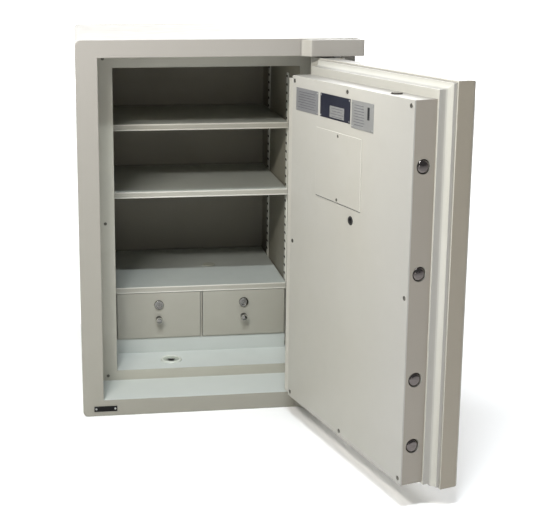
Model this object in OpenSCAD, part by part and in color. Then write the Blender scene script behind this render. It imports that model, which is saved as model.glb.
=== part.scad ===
// Fire-resistant office safe with its door standing open.
// Millimetres. Origin at the centre of the underside, +Z up, front towards -Y.
// The door is drawn shut and then turned about its pins.

/* [Body] */
// Width of the body
body_w = 700; // [640:1:800]
// Height of the body
body_h = 950; // [900:1:1050]
// Depth of the body without the hinge blocks
body_d = 750; // [700:1:850]
// Thickness of the outer sheets
shell_t = 3; // [2:0.5:4]
// Radius of the body's long edges
corner_r = 14; // [8:1:20]
// Thickness of the insulated back wall
back_wall = 80; // [60:1:100]

/* [Front frame] */
// Width of the jamb on the latch side
jamb_w = 52; // [46:1:60]
// Height of the top rail
top_rail_h = 42; // [38:1:60]
// Height of the bottom rail
bottom_rail_h = 42; // [38:1:60]
// Width of the lip at the latch side
lip_w = 40; // [36:1:48]
// Width of the lip at the hinge side
hinge_lip_w = 67; // [50:1:80]
// Height of the lip above the opening
lip_top_h = 36; // [24:1:48]
// Height of the lip below the opening
lip_bottom_h = 26; // [20:1:40]
// Thickness of the lip plate
lip_t = 3; // [2:0.5:4]
// Thickness of the liner sheet
liner_t = 2; // [1.5:0.5:3]

/* [Door] */
// Angle that the door stands open at rest
door_open = 105; // [95:1:115]
// Thickness of the outer slab
slab_t = 45; // [40:1:50]
// Thickness of the coved step
step_t = 32; // [28:1:36]
// Thickness of the bolt case with its cover
block_t = 52; // [48:1:60]
// Gap between the slab and the frame
door_gap = 4; // [3:0.5:6]
// Gap between the shut door and the lip
closing_gap = 4; // [3:0.5:8]
// Gap between the bolt case and the jamb at the hinge side
case_gap = 32; // [30:1:36]
// Width of the dead bar at the hinge side
dead_bar_w = 18; // [16:1:20]
// Thickness of the dead bar
dead_bar_t = 20; // [14:1:22]
// How far the slab stands past the bolt case at the latch side
latch_overhang = 22; // [18:1:26]
// How far the slab stands past the bolt case at the top
top_overhang = 36; // [20:1:44]
// How far the slab stands past the bolt case at the bottom
bottom_overhang = 14; // [12:1:20]
// Radius of the slab's outer edges
slab_edge_r = 10; // [6:1:14]
// Wall of the slab pan
pan_t = 4; // [3:0.5:5]
// Wall of the bolt case
case_t = 4; // [3:0.5:5]
// Thickness of the inner cover
cover_t = 3; // [2:0.5:4]

/* [Hinge] */
// Distance of the pins from the body's right side
pin_inset = 66; // [60:1:70]
// Distance of the pins in front of the frame
pin_forward = 2; // [0:0.5:4]
// Radius of the hinge pins
pin_r = 10; // [8:0.5:11]
// Radius of the hinge column on the slab
column_r = 20; // [18:0.5:22]
// Radial running clearance of the pins
pin_clear = 0.05; // [0.02:0.01:0.1]
// Width of the hinge blocks
hinge_block_w = 155; // [140:1:170]
// Height of the bearing in each hinge block
bush_h = 30; // [24:1:34]

/* [Bolt work] */
// Radius of the round bolts
bolt_r = 15; // [12:0.5:16]
// Throw of the bolts
throw = 45; // [40:1:48]
// How far the drawn bolts stand out of the case
bolt_proud = 3; // [2:0.5:5]
// Heights of the latch bolts
bolt_z = [145, 290, 515, 735];
// Length of the bolts' guides
guide_l = 10; // [8:1:14]
// Radial clearance of the bolts in their guides
bolt_clear = 0.1; // [0.05:0.01:0.1]
// Radius of the top bolt
rod_bolt_r = 12; // [10:0.5:13]
// Distance of the top bolt from the case's latch side
rod_bolt_in = 107; // [95:1:120]
// Start radius of the spiral slots in the cam disc
slot_r0 = 25; // [24:0.5:28]
// Radius of the drive pins
drive_pin_r = 4; // [3.5:0.5:4.5]
// Radius of the cam disc
disc_r = 80; // [78:1:84]

/* [Lock and handle] */
// Distance of the handle from the door's hinge pins
handle_in = 319; // [310:1:330]
// Height of the handle
handle_z = 560; // [550:1:570]
// Length of the lever
lever_l = 130; // [110:1:150]
// Distance of the keypad's centre from the hinge pins
keypad_in = 256; // [245:1:262]
// Height of the keypad's centre
keypad_z = 692; // [685:1:710]
// Pitch of the keys
key_pitch = 23; // [21:0.5:25]
// Radius of a key
key_r = 8; // [7:0.5:9]
// Travel of a key
key_travel = 2; // [1:0.5:2.5]

/* [Interior] */
// Slot that carries the middle shelf, counted from the floor
middle_slot = 18; // [14:1:20]
// Slot that carries the upper shelf
upper_slot = 26; // [24:1:29]
// Distance of the shelves' front edges behind the lip
shelf_set = 124; // [110:1:140]
// Thickness of the shelf sheet
shelf_t = 2; // [1.5:0.5:3]
// Height of a shelf's turned-down edge
shelf_lip = 17; // [12:1:20]
// Pitch of the slots in the tracks
slot_pitch = 23; // [22:0.5:24]
// Height of a slot
slot_h = 7; // [5:0.5:9]
// Width of a track
track_w = 20; // [16:1:24]
// Depth of a track
track_t = 3; // [2:0.5:4]

/* [Drawers] */
// Thickness of the drawer fronts
drawer_front_t = 6; // [4:0.5:8]
// Height of the drawer unit
unit_h = 173; // [160:1:190]
// Height of the plinth under the drawers
plinth_h = 40; // [30:1:50]
// Radius of the drawer locks
drawer_lock_r = 10; // [8:0.5:12]
// Radius of the drawer pulls
pull_r = 9; // [7:0.5:11]

/* [Anchor] */
// Radius of the anchor hole
anchor_r = 9; // [7:0.5:10]
// Distance of the anchor hole from the interior's left side
anchor_in = 150; // [100:1:250]

/* [Hidden] */
$fn = 48;

// Body planes
left_x = -body_w / 2;
right_x = body_w / 2;
front_y = -body_d / 2;
back_y = body_d / 2;
door_t = slab_t + step_t + block_t;
rebate_x = left_x + jamb_w;
rebate_z0 = bottom_rail_h;
rebate_z1 = body_h - top_rail_h;
lip_y = front_y + door_t + closing_gap;
in_z0 = rebate_z0 + lip_bottom_h;
in_z1 = rebate_z1 - lip_top_h;
in_y0 = lip_y + lip_t;
in_y1 = back_y - back_wall;
socket_wall = 3;
socket_gap = 2;
socket_l = 30;

// Hinge
pin_x = right_x - pin_inset;
pin_y = front_y - pin_forward;
end_r = pin_inset - 2;
pocket_y = pin_y + end_r + 4;
pocket_x = pin_x + 6;
in_x0 = rebate_x + lip_w;
in_x1 = pocket_x - hinge_lip_w;
mid_x = (in_x0 + in_x1) / 2;
in_x = (in_x1 - in_x0) / 2;
block_front = column_r + pin_forward;
block_x = right_x - hinge_block_w;
block_sweep = 26;
barrel_r = pin_r + 7;
pin_hold = 40;

// Door, shut
slab_x0 = rebate_x + door_gap;
slab_z0 = rebate_z0 + door_gap;
slab_z1 = rebate_z1 - door_gap;
case_x0 = slab_x0 + latch_overhang;
case_x1 = pocket_x - case_gap;
case_z0 = slab_z0 + bottom_overhang;
case_z1 = slab_z1 - top_overhang;
slab_y1 = front_y + slab_t;
case_y0 = slab_y1 + step_t;
cover_y1 = front_y + door_t;
cover_y0 = cover_y1 - cover_t;
cavity_x1 = pin_x - column_r - 14;
bolt_y = (case_y0 + case_t + cover_y0) / 2;
rod_x = case_x0 + rod_bolt_in;
handle_x = pin_x - handle_in;
keypad_x = pin_x - keypad_in;
disc_y = bolt_y - 9;
disc_t = 5;
bar_t = 8;
bar_in = 62;
bar_x = case_x0 + bar_in;
bar_w = 28;
bar_end = 22;
arm_y = disc_y + disc_t + 2;
arm_t = 5;
arm_h = 30;
arm_reach = 62;
tail_in = 20;
notch_w = 20;
notch_h = 12;
rod_y = disc_y - 9;
rod_t = 6;
rod_w = 12;
rod_arm_h = 20;
rod_bolt_l = 85;
rod_lap = 12;
spindle_r = 8;
slot_w = drive_pin_r + 0.6;
handle_turn = 90;
lead = throw / handle_turn;
handle_out = 52;
hub_r = 17;
lever_r = 9;
knob_r = 13;
rose_r = 30;
rose_t = 14;
spindle_out = 42;
dead_bar_y = cover_y1 - dead_bar_t;
catch_y = dead_bar_y - 5;
catch_w = case_gap - 10;
lock_case_z = handle_z + disc_r + 6;
key_x = keypad_x - 110;
key_cyl_r = 11;
key_y1 = front_y + 30;

// Interior
shelf_y0 = in_y0 + shelf_set;
shelf_y1 = in_y1 - 14;
shelf_x = in_x - track_t - 1;
track_y = [shelf_y0 + 26, in_y1 - 110];
track_z0 = in_z0 + 13;
track_n = floor((in_z1 - in_z0 - 26) / slot_pitch);
clip_t = 3;
slot_rim = 4;
function slot_z(n) = track_z0 + (n + 0.5) * slot_pitch;
function shelf_top(n) = slot_z(n) + clip_t / 2 + shelf_lip;
plug_x = in_x * 0.19;
plug_y = shelf_y0 + 0.52 * (shelf_y1 - shelf_y0);
plug_r = 14;

// Drawer unit under the lower shelf
unit_top = in_z0 + unit_h;
lower_top = unit_top + shelf_lip;
unit_t = 2;
unit_y1 = shelf_y1 - 6;
unit_floor = in_z0 + plinth_h;
drawer_gap = 1.5;
drawer_x0 = unit_t + drawer_gap;
drawer_x1 = shelf_x - unit_t - drawer_gap;
drawer_z0 = unit_floor + unit_t + drawer_gap;
drawer_z1 = unit_top - drawer_gap;
rail_h = 6;
rail_w = 12;
tray_t = 1.5;
tray_x_gap = 8;
tray_y1 = unit_y1 - unit_t - 4;
tray_h = drawer_z1 - drawer_z0 - 26;
lock_z = drawer_z0 + 0.74 * (drawer_z1 - drawer_z0);
pull_z = drawer_z0 + 0.42 * (drawer_z1 - drawer_z0);
drawer_cam_l = unit_top + 11 - lock_z;

// Places of the anchor, keys and screws
anchor_x = in_x0 + anchor_in;
anchor_y = in_y0 + shelf_set / 2;
grommet_r = 29;
key_names = ["1", "2", "3", "4", "5", "6", "7", "8", "9", "star", "0", "hash"];
keypad_w = 96;
keypad_h = 150;
keypad_t = 26;
key_top = keypad_z + 40;
lip_screw_r = 2;
lip_screw_in = 16;
lip_screw_places = [for (x = [rebate_x + lip_screw_in, pocket_x - lip_screw_in],
    z = [rebate_z0 + 13, (in_z0 + in_z1) / 2, rebate_z1 - 13]) [x, z]];
screw_r = 4.5;
cover_screw_in = 12;
cover_mid = [(case_x0 + case_x1) / 2, (case_z0 + case_z1) / 2];
cover_screw_places = [for (x = [case_x0 + cover_screw_in, cover_mid[0], case_x1 - cover_screw_in],
    z = [case_z0 + cover_screw_in, cover_mid[1], case_z1 - cover_screw_in]) if ([x, z] != cover_mid) [x, z]];

// Access panel, cable hole and bare plates, measured from the hinge side and the top of the cover
panel_w = 206;
panel_h = 160;
panel_t = 1.5;
panel_lap = 10;
panel_x1 = case_x1 - 127;
panel_x0 = panel_x1 - panel_w;
panel_z1 = case_z1 - 106;
panel_z0 = panel_z1 - panel_h;
oval_x = case_x1 - 293;
oval_z = case_z1 - 292;
label_t = 0.8;
label_z1 = case_z1 - 26;
// From the hinge side, width, height
label_places = [[22, 110, 54], [143, 137, 54], [286, 92, 61]];

function arc(cx, cy, r, a0, a1, n = 6) =
    [for (i = [0 : n]) let (a = a0 + (a1 - a0) * i / n) [cx + r * cos(a), cy + r * sin(a)]];

// Cove between the bolt case and the slab: distance out from the case's side, then Y
cove_r = 13;
function step_profile(over) =
    let (r = min(cove_r, over - 9), out = over - 4, land = out - r, y = case_y0 - 11)
    concat([[land, case_y0], [land, y]],
        [for (i = [1 : 6]) [out - r * cos(15 * i), y - r * sin(15 * i)]],
        [[out, slab_y1]]);

function flip(list) = [for (i = [len(list) - 1 : -1 : 0]) list[i]];

module rounded(w, h, r) {
    translate([-w / 2 + r, 0]) square([w - 2 * r, h]);
    translate([-w / 2, r]) square([w, h - 2 * r]);
    for (x = [-w / 2 + r, w / 2 - r], z = [r, h - r]) translate([x, z]) circle(r);
}

module box(a, b) {
    translate(a) cube(b - a);
}

module along_y(y0, y1) {
    translate([0, y1, 0]) rotate([90, 0, 0]) linear_extrude(y1 - y0) children();
}

module along_x(x0, x1) {
    translate([x0, 0, 0]) rotate([90, 0, 90]) linear_extrude(x1 - x0) children();
}

module along_z(z0, z1) {
    translate([0, 0, z0]) linear_extrude(z1 - z0) children();
}

module rod_y(x, z, y0, y1, r) {
    translate([x, y0, z]) rotate([-90, 0, 0]) cylinder(h = y1 - y0, r = r);
}

module rod_x_dir(y, z, x0, x1, r) {
    translate([x0, y, z]) rotate([0, 90, 0]) cylinder(h = x1 - x0, r = r);
}

module rod_z(x, y, z0, z1, r) {
    translate([x, y, z0]) cylinder(h = z1 - z0, r = r);
}

// Moves a part drawn about the middle of the interior to its place
module inside() {
    translate([mid_x, 0, 0]) children();
}

// Turns a shut door part about the pins to its open place
module on_door() {
    translate([pin_x, pin_y, 0]) rotate([0, 0, door_open])
        translate([-pin_x, -pin_y, 0]) children();
}

module hinge_barrels(r) {
    rod_z(pin_x, pin_y, rebate_z1 - 1, rebate_z1 + bush_h + 4, r);
    rod_z(pin_x, pin_y, rebate_z0 - bush_h - 4, rebate_z0 + 1, r);
}

module outer_shell() {
    color("ivory") difference() {
        along_y(front_y + shell_t, back_y - shell_t) difference() {
            rounded(body_w, body_h, corner_r);
            translate([0, shell_t]) rounded(body_w - 2 * shell_t, body_h - 2 * shell_t, corner_r - shell_t);
        }
        box([pocket_x, front_y, rebate_z0], [right_x + 1, pocket_y + shell_t, rebate_z1]);
        rod_z(anchor_x, anchor_y, -1, shell_t + 1, anchor_r + 5);
    }
}

module rear_panel() {
    color("ivory") along_y(back_y - shell_t, back_y) rounded(body_w, body_h, corner_r);
}

module front_frame() {
    color("ivory") difference() {
        union() {
            along_y(front_y, front_y + shell_t) rounded(body_w, body_h, corner_r);
            box([rebate_x - shell_t, front_y, rebate_z0 - shell_t],
                [right_x - shell_t, lip_y, rebate_z1 + shell_t]);
        }
        box([rebate_x, front_y - 1, rebate_z0], [pocket_x, lip_y + 1, rebate_z1]);
        box([pocket_x - 1, front_y - 1, rebate_z0], [right_x + 1, pocket_y, rebate_z1]);
        box([pocket_x + shell_t, pocket_y + shell_t, rebate_z0 - shell_t - 1],
            [right_x, lip_y + 1, rebate_z1 + shell_t + 1]);
        hinge_barrels(barrel_r);
        for (z = bolt_z)
            rod_x_dir(bolt_y, z, rebate_x - shell_t - 1, rebate_x + 1, bolt_r + socket_gap);
        rod_z(rod_x, bolt_y, rebate_z1 - 1, rebate_z1 + shell_t + 1, rod_bolt_r + socket_gap);
    }
    // Catch that the dead bar stands behind when the door is shut
    color("ivory")
        box([pocket_x - catch_w, catch_y - 12, rebate_z0], [pocket_x + shell_t, catch_y, rebate_z1]);
}

module lip_frame() {
    color("gainsboro") difference() {
        box([rebate_x - shell_t, lip_y, rebate_z0 - shell_t],
            [pocket_x + shell_t, lip_y + lip_t, rebate_z1 + shell_t]);
        box([in_x0, lip_y - 1, in_z0], [in_x1, lip_y + lip_t + 1, in_z1]);
        for (p = lip_screw_places) rod_y(p[0], p[1], lip_y - 1, lip_y + lip_t + 1, lip_screw_r);
    }
}

module lip_screws() {
    color("silver") for (p = lip_screw_places) {
        rod_y(p[0], p[1], lip_y, lip_y + lip_t, lip_screw_r);
        rod_y(p[0], p[1], lip_y - 1.6, lip_y, 4);
    }
}

module insulation_core() {
    color("tan") difference() {
        along_y(front_y + shell_t, back_y - shell_t) translate([0, shell_t])
            rounded(body_w - 2 * shell_t, body_h - 2 * shell_t, corner_r - shell_t);
        box([rebate_x - shell_t, front_y, rebate_z0 - shell_t],
            [pocket_x + shell_t, lip_y + lip_t, rebate_z1 + shell_t]);
        box([pocket_x, front_y, rebate_z0 - shell_t], [right_x, pocket_y + shell_t, rebate_z1 + shell_t]);
        box([in_x0 - liner_t, lip_y, in_z0 - liner_t],
            [in_x1 + liner_t, in_y1 + liner_t, in_z1 + liner_t]);
        rod_z(anchor_x, anchor_y, 0, in_z0, anchor_r + 5);
        hinge_barrels(barrel_r);
        for (z = bolt_z)
            rod_x_dir(bolt_y, z, rebate_x - throw, rebate_x, bolt_r + socket_gap + socket_wall);
        rod_z(rod_x, bolt_y, rebate_z1 + shell_t, rebate_z1 + shell_t + socket_l,
            rod_bolt_r + socket_gap + socket_wall);
    }
}

module inner_liner() {
    color("darkkhaki") difference() {
        box([in_x0 - liner_t, in_y0, in_z0], [in_x1 + liner_t, in_y1 + liner_t, in_z1 + liner_t]);
        box([in_x0, in_y0 - 1, in_z0 - 1], [in_x1, in_y1, in_z1]);
    }
}

module liner_floor() {
    color("darkkhaki") difference() {
        box([in_x0 - liner_t, in_y0, in_z0 - liner_t], [in_x1 + liner_t, in_y1 + liner_t, in_z0]);
        rod_z(anchor_x, anchor_y, in_z0 - liner_t - 1, in_z0 + 1, anchor_r + 5);
    }
}

// Slotted tracks, a pair on each side
module shelf_tracks() {
    color("darkkhaki") inside() for (y = track_y, side = [-1, 1]) difference() {
        box([min(side * in_x, side * (in_x - track_t)), y - track_w / 2, track_z0],
            [max(side * in_x, side * (in_x - track_t)), y + track_w / 2, track_z0 + track_n * slot_pitch]);
        for (i = [0 : track_n - 1])
            box([side * in_x - track_t - 1, y - track_w / 2 + slot_rim, slot_z(i) - clip_t / 2],
                [side * in_x + track_t + 1, y + track_w / 2 - slot_rim, slot_z(i) - clip_t / 2 + slot_h]);
    }
}

module shelf(top, hole) {
    difference() {
        box([-shelf_x, shelf_y0, top - shelf_lip], [shelf_x, shelf_y1, top]);
        box([-shelf_x + shelf_t, shelf_y0 + shelf_t, top - shelf_lip - 1],
            [shelf_x - shelf_t, shelf_y1 - shelf_t, top - shelf_t]);
        if (hole) rod_z(plug_x, plug_y, top - shelf_t - 1, top + 1, plug_r);
    }
}

module upper_shelf() {
    color("beige") inside() shelf(shelf_top(upper_slot), false);
}

module middle_shelf() {
    color("beige") inside() shelf(shelf_top(middle_slot), false);
}

module lower_shelf() {
    color("beige") inside() shelf(lower_top, true);
}

// Small hooks under the two upper shelves' ends, four to a shelf
module shelf_clips() {
    clip_w = track_w - 2 * slot_rim - 2;
    color("silver") inside() for (n = [middle_slot, upper_slot], y = track_y, s = [-1, 1])
        box([min(s * in_x, s * (in_x - 14)), y - clip_w / 2, slot_z(n) - clip_t / 2],
            [max(s * in_x, s * (in_x - 14)), y + clip_w / 2, slot_z(n) + clip_t / 2]);
}

module shelf_plug() {
    color("ivory") inside() {
        rod_z(plug_x, plug_y, lower_top - shelf_t - 6, lower_top, plug_r);
        rod_z(plug_x, plug_y, lower_top, lower_top + 2, plug_r + 5);
    }
}

// Open-topped case of the drawers on its plinth: floor, sides, divider, back and slide rails
module drawer_housing() {
    y0 = shelf_y0 + 4;
    color("beige") inside() {
        box([-shelf_x, y0, unit_floor], [shelf_x, unit_y1, unit_floor + unit_t]);
        box([-shelf_x, unit_y1 - unit_t, in_z0], [shelf_x, unit_y1, unit_top]);
        box([-shelf_x, y0, in_z0], [shelf_x, y0 + unit_t, unit_floor]);
        for (x = [-shelf_x, shelf_x - unit_t]) box([x, y0, in_z0], [x + unit_t, unit_y1, unit_top]);
        box([-unit_t, y0, unit_floor], [unit_t, unit_y1, unit_top]);
        for (s = [-1, 1], x = [unit_t, shelf_x - unit_t - rail_w])
            box([min(s * x, s * (x + rail_w)), y0 + 6, unit_floor],
                [max(s * x, s * (x + rail_w)), unit_y1, unit_floor + unit_t + rail_h]);
    }
}

module anchor_sleeve() {
    color("silver") difference() {
        rod_z(anchor_x, anchor_y, 0, in_z0, anchor_r + 5);
        rod_z(anchor_x, anchor_y, -1, in_z0 + 1, anchor_r);
    }
}

module anchor_grommet() {
    color("ivory") difference() {
        union() {
            rod_z(anchor_x, anchor_y, in_z0, in_z0 + 5, grommet_r);
            box([anchor_x - 5, anchor_y - grommet_r - 4, in_z0],
                [anchor_x + 5, anchor_y - grommet_r + 6, in_z0 + 3]);
        }
        rod_z(anchor_x, anchor_y, in_z0 + 2, in_z0 + 6, grommet_r - 7);
        rod_z(anchor_x, anchor_y, in_z0 - 1, in_z0 + 6, anchor_r + 3);
    }
}

module nameplate() {
    color("black") box([left_x + 28, front_y - 1.5, 12], [left_x + 86, front_y, 26]);
}

// Face of a hinge block seen from above, with a swept end towards the latch side
function block_outline() = concat([[right_x - 6, front_y]],
    arc(right_x - 6, front_y - block_front + 6, 6, 0, -90),
    [for (i = [0 : 8]) [block_x + block_sweep * (8 - i) / 8,
        front_y - block_front * (1 + cos(22.5 * i)) / 2]]);

module top_hinge_block() {
    color("ivory") difference() {
        union() {
            along_z(rebate_z1, body_h - 2) polygon(block_outline());
            rod_z(pin_x, pin_y, rebate_z1, rebate_z1 + bush_h + 4, barrel_r);
        }
        rod_z(pin_x, pin_y, rebate_z1 - 1, rebate_z1 + bush_h, pin_r + 3);
    }
}

module bottom_hinge_block() {
    color("ivory") difference() {
        union() {
            along_z(2, rebate_z0) polygon(block_outline());
            rod_z(pin_x, pin_y, rebate_z0 - bush_h - 4, rebate_z0, barrel_r);
        }
        rod_z(pin_x, pin_y, rebate_z0 - bush_h, rebate_z0 + 1, pin_r + 3);
    }
}

module hinge_bushes() {
    color("gold") {
        difference() {
            rod_z(pin_x, pin_y, rebate_z1, rebate_z1 + bush_h, pin_r + 3);
            rod_z(pin_x, pin_y, rebate_z1 - 1, rebate_z1 + bush_h + 1, pin_r + pin_clear);
        }
        difference() {
            union() {
                rod_z(pin_x, pin_y, rebate_z0 - bush_h, rebate_z0, pin_r + 3);
                rod_z(pin_x, pin_y, rebate_z0, slab_z0 - 0.3, pin_r + 6);
            }
            rod_z(pin_x, pin_y, rebate_z0 - bush_h - 1, slab_z0, pin_r + pin_clear);
        }
    }
}

module socket(r, l) {
    difference() {
        cylinder(h = l, r = r + socket_gap + socket_wall);
        translate([0, 0, -1]) cylinder(h = l - socket_wall + 1, r = r + socket_gap);
    }
}

// Steel cups behind the frame that the thrown bolts enter
module bolt_sockets() {
    color("silver") {
        for (z = bolt_z)
            translate([rebate_x - shell_t, bolt_y, z]) rotate([0, -90, 0]) socket(bolt_r, socket_l - 2);
        translate([rod_x, bolt_y, rebate_z1 + shell_t]) socket(rod_bolt_r, socket_l);
    }
}

// The slab seen from above, from the latch edge round to the hinge end
function slab_outline() = let (a = asin((slab_y1 - pin_y) / end_r)) concat(
    arc(slab_x0 + slab_edge_r, front_y + slab_edge_r, slab_edge_r, 180, 270),
    arc(pin_x, pin_y, end_r, asin(pin_forward / end_r), a, 10),
    [[slab_x0, slab_y1]]);

function slab_side() = concat(
    arc(front_y + slab_edge_r, slab_z0 + slab_edge_r, slab_edge_r, 180, 270),
    [[slab_y1, slab_z0], [slab_y1, slab_z1]],
    arc(front_y + slab_edge_r, slab_z1 - slab_edge_r, slab_edge_r, 90, 180));

module slab_body() {
    intersection() {
        along_z(slab_z0, slab_z1) polygon(slab_outline());
        along_x(slab_x0, right_x) polygon(slab_side());
    }
    rod_z(pin_x, pin_y, slab_z0, slab_z1, column_r);
}

// Room of the slab pan, filled by the insulation
module door_cavity() {
    box([slab_x0 + pan_t, front_y + pan_t, slab_z0 + pan_t], [cavity_x1, slab_y1, slab_z1 - pan_t]);
}

module door_slab() {
    color("ivory") on_door() difference() {
        slab_body();
        door_cavity();
        rod_y(handle_x, handle_z, front_y - 1, slab_y1 + 1, spindle_r + 0.5);
        rod_y(key_x, keypad_z, front_y - 1, slab_y1 + 1, key_cyl_r + 0.1);
        rod_z(pin_x, pin_y, slab_z1 - pin_hold, slab_z1 + 1, pin_r);
        rod_z(pin_x, pin_y, slab_z0 - 1, slab_z0 + pin_hold, pin_r);
    }
}

module door_insulation() {
    color("tan") on_door() difference() {
        union() {
            door_cavity();
            box([case_x0 + 6, slab_y1, case_z0 + 6], [case_x1 - 6, case_y0 - 3, case_z1 - 6]);
        }
        rod_y(handle_x, handle_z, front_y, case_y0, spindle_r + 1);
        rod_y(key_x, keypad_z, front_y, key_y1 + 2, key_cyl_r + 1);
    }
}

// Stepped and coved layer between the slab and the bolt case
module door_step() {
    left = step_profile(latch_overhang);
    top = step_profile(top_overhang);
    low = step_profile(bottom_overhang);
    right = step_profile(20);
    color("ivory") on_door() difference() {
        intersection() {
            along_z(slab_z0, slab_z1) polygon(concat(
                [for (p = left) [case_x0 - p[0], p[1]]],
                flip([for (p = right) [case_x1 + p[0], p[1]]])));
            along_x(slab_x0, right_x) polygon(concat(
                [for (p = low) [p[1], case_z0 - p[0]]],
                flip([for (p = top) [p[1], case_z1 + p[0]]])));
        }
        box([case_x0 + 6, slab_y1 - 1, case_z0 + 6], [case_x1 - 6, case_y0 - 3, case_z1 - 6]);
        rod_y(handle_x, handle_z, slab_y1, case_y0 + 1, spindle_r + 0.5);
    }
}

// Pan that holds the bolt work, open towards the cover
module bolt_case() {
    color("ivory") on_door() difference() {
        box([case_x0, case_y0, case_z0], [case_x1, cover_y0, case_z1]);
        box([case_x0 + case_t, case_y0 + case_t, case_z0 + case_t],
            [case_x1 - case_t, cover_y0 + 1, case_z1 - case_t]);
        for (z = bolt_z) rod_x_dir(bolt_y, z, case_x0 - 1, case_x0 + case_t + 1, bolt_r + 0.6);
        rod_z(rod_x, bolt_y, case_z1 - case_t - 1, case_z1 + 1, rod_bolt_r + 0.6);
        rod_y(handle_x, handle_z, case_y0 - 1, case_y0 + case_t + 1, spindle_r + 0.5);
    }
}

module inner_cover() {
    color("ivory") on_door() difference() {
        box([case_x0, cover_y0, case_z0], [case_x1, cover_y1, case_z1]);
        box([panel_x0 + panel_lap, cover_y0 - 1, panel_z0 + panel_lap],
            [panel_x1 - panel_lap, cover_y1 + 1, panel_z1 - panel_lap]);
        rod_y(oval_x, oval_z, cover_y0 - 1, cover_y1 + 1, 8);
    }
}

module cover_screws() {
    color("silver") on_door() for (p = cover_screw_places)
        rod_y(p[0], p[1], cover_y1, cover_y1 + 1.5, screw_r);
}

module access_panel() {
    color("ivory") on_door()
        box([panel_x0, cover_y1, panel_z0], [panel_x1, cover_y1 + panel_t, panel_z1]);
}

// Three bare plates along the top of the inner cover
module inner_labels() {
    color("gray") on_door() for (p = label_places)
        box([case_x1 - p[0] - p[1], cover_y1, label_z1 - p[2]],
            [case_x1 - p[0], cover_y1 + label_t, label_z1]);
}

module cable_grommet() {
    color("black") on_door() {
        rod_y(oval_x, oval_z, cover_y0, cover_y1, 8);
        rod_y(oval_x, oval_z, cover_y1, cover_y1 + 1.2, 10);
    }
}

module hinge_pins() {
    color("silver") on_door() {
        rod_z(pin_x, pin_y, slab_z1 - pin_hold, rebate_z1 + bush_h - 2, pin_r);
        rod_z(pin_x, pin_y, rebate_z0 - bush_h + 2, slab_z0 + pin_hold, pin_r);
    }
}

module bolt_guides() {
    color("gold") on_door() {
        for (z = bolt_z) difference() {
            rod_x_dir(bolt_y, z, case_x0 + case_t, case_x0 + case_t + guide_l, bolt_r + 4);
            rod_x_dir(bolt_y, z, case_x0, case_x0 + case_t + guide_l + 1, bolt_r + bolt_clear);
        }
        difference() {
            rod_z(rod_x, bolt_y, case_z1 - case_t - guide_l, case_z1 - case_t, rod_bolt_r + 4);
            rod_z(rod_x, bolt_y, case_z1 - case_t - guide_l - 1, case_z1, rod_bolt_r + bolt_clear);
        }
    }
}

// Fixed bar at the hinge side
module dead_bar() {
    color("ivory") on_door()
        box([case_x1, dead_bar_y, case_z0 + 8], [case_x1 + dead_bar_w, cover_y1, case_z1 - 8]);
}

module lock_case() {
    color("dimgray") on_door() difference() {
        box([keypad_x - 33, case_y0 + case_t, lock_case_z], [keypad_x + 33, cover_y0 - 4, lock_case_z + 88]);
        box([keypad_x - 8.5, arm_y - 3.5, lock_case_z - 1],
            [keypad_x + 8.5, arm_y + arm_t + 3.5, lock_case_z + 30]);
    }
}

module lock_bolt() {
    color("silver") on_door()
        box([keypad_x - 8, arm_y - 3, lock_case_z - 2], [keypad_x + 8, arm_y + arm_t + 3, lock_case_z + 24]);
}

function key_place(i) = [keypad_x + (i % 3 - 1) * key_pitch, key_top - floor(i / 3) * key_pitch];

module keypad_housing() {
    color("darkslategray") on_door() difference() {
        translate([keypad_x, 0, keypad_z - keypad_h / 2])
            along_y(front_y - keypad_t, front_y) rounded(keypad_w, keypad_h, 12);
        for (p = [for (i = [0 : 11]) key_place(i)])
            rod_y(p[0], p[1], front_y - keypad_t - 1, front_y - keypad_t + 8, key_r + 0.4);
    }
}

module keypad_key(i) {
    y0 = front_y - keypad_t;
    color("whitesmoke") on_door()
        rod_y(key_place(i)[0], key_place(i)[1], y0 - 2.5, y0 + 8 - key_travel - 0.5, key_r);
}

module handle_rose() {
    color("silver") on_door() difference() {
        rod_y(handle_x, handle_z, front_y - rose_t, front_y, rose_r);
        rod_y(handle_x, handle_z, front_y - rose_t - 1, front_y + 1, spindle_r + 0.1);
    }
}

// Lever hanging down from its hub when the bolts are drawn
module handle_lever() {
    y0 = front_y - handle_out;
    color("silver") on_door() difference() {
        union() {
            rod_y(handle_x, handle_z, y0, front_y - rose_t - 1, hub_r);
            rod_z(handle_x, y0 + knob_r, handle_z - lever_l, handle_z, lever_r);
            translate([handle_x, y0 + knob_r, handle_z - lever_l]) sphere(knob_r);
        }
        rod_y(handle_x, handle_z, front_y - spindle_out, front_y - rose_t, spindle_r);
    }
}

// Spiral slot: the pin moves out by the same amount for each degree of turn
function slot_mid(a, t) = [(slot_r0 + lead * t) * cos(a + t), (slot_r0 + lead * t) * sin(a + t)];
function slot_dir(a, t) = let (d = slot_mid(a, t + 1) - slot_mid(a, t - 1)) d / norm(d);
function slot_side(a, t, w) = slot_mid(a, t) + w * [-slot_dir(a, t)[1], slot_dir(a, t)[0]];

module spiral_slot(a) {
    turns = [-1 : 6.5 : handle_turn + 1];
    polygon(concat([for (t = turns) slot_side(a, t, slot_w)],
        flip([for (t = turns) slot_side(a, t, -slot_w)])));
    for (t = [-1, handle_turn]) translate(slot_mid(a, t)) circle(slot_w);
}

module cam_spindle() {
    color("silver") on_door() {
        rod_y(handle_x, handle_z, front_y - spindle_out, disc_y, spindle_r);
        translate([handle_x, 0, handle_z]) along_y(disc_y, disc_y + disc_t) difference() {
            circle(disc_r, $fn = 96);
            for (a = [90, 180]) spiral_slot(a);
        }
    }
}

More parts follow.
